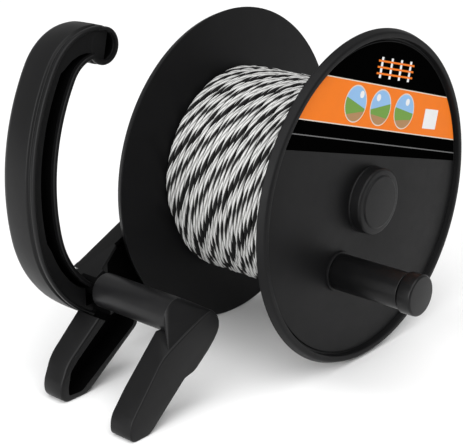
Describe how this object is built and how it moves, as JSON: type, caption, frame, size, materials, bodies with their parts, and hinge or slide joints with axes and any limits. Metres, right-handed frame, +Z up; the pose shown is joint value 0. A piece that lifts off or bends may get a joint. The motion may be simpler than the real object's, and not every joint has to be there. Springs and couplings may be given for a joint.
{
  "type": "electric fence reel",
  "caption": "Hand reel for electric fence wire: a flanged drum of twisted wire turned by a crank grip, on an axle held by a C-shaped carrying handle with legs.",
  "frame": {"origin": "middle of the base of the overall box, on the floor that the flanges and feet stand on", "axes": "+X from the carrying handle towards the drum, +Y along the axle from the crank to the back, +Z up"},
  "size_m": [0.2707, 0.1836, 0.2066],
  "materials": {
    "frame_plastic": "satin moulded black plastic",
    "bar_plastic": "satin moulded black plastic",
    "drum_plastic": "satin moulded black plastic with a fine grain",
    "cap_plastic": "satin moulded black plastic",
    "grip_plastic": "smooth black plastic",
    "nylon": "natural nylon",
    "steel": "zinc-plated steel",
    "label_print": "printed film in black and orange",
    "wire_twist": "white twisted polymer strands with black tracers"
  },
  "bodies": {
    "frame": {"handle_frame": "frame_plastic", "crossbar": "bar_plastic", "crossbar_washer": "steel", "crossbar_screw": "steel", "front_leg": "frame_plastic", "axle": "steel", "axle_clip": "steel", "front_thrust_washer": "nylon", "rear_thrust_washer": "nylon", "axle_washer": "steel", "axle_nut": "steel"},
    "drum": {"drum_barrel": "drum_plastic", "crank_flange": "drum_plastic", "rear_flange": "drum_plastic", "front_bush": "nylon", "rear_bush": "nylon", "front_screw_1": "steel", "front_screw_2": "steel", "front_screw_3": "steel", "rear_screw_1": "steel", "rear_screw_2": "steel", "rear_screw_3": "steel", "hub_cap": "cap_plastic", "label": "label_print", "crank_spindle": "steel", "crank_washer": "steel", "wire_core": "wire_twist", "wire_winding": "wire_twist"},
    "grip": {"crank_sleeve": "grip_plastic", "crank_end_cap": "grip_plastic"}
  },
  "joints": [
    {"name": "drum_spin", "type": "hinge", "parent": "frame", "child": "drum", "pos_m": [0.0356, -0.03465, 0.1], "axis": [0, 1, 0], "continuous": true},
    {"name": "grip_spin", "type": "hinge", "parent": "drum", "child": "grip", "pos_m": [0.00792, -0.06465, 0.06326], "axis": [0, 1, 0], "continuous": true}
  ]
}
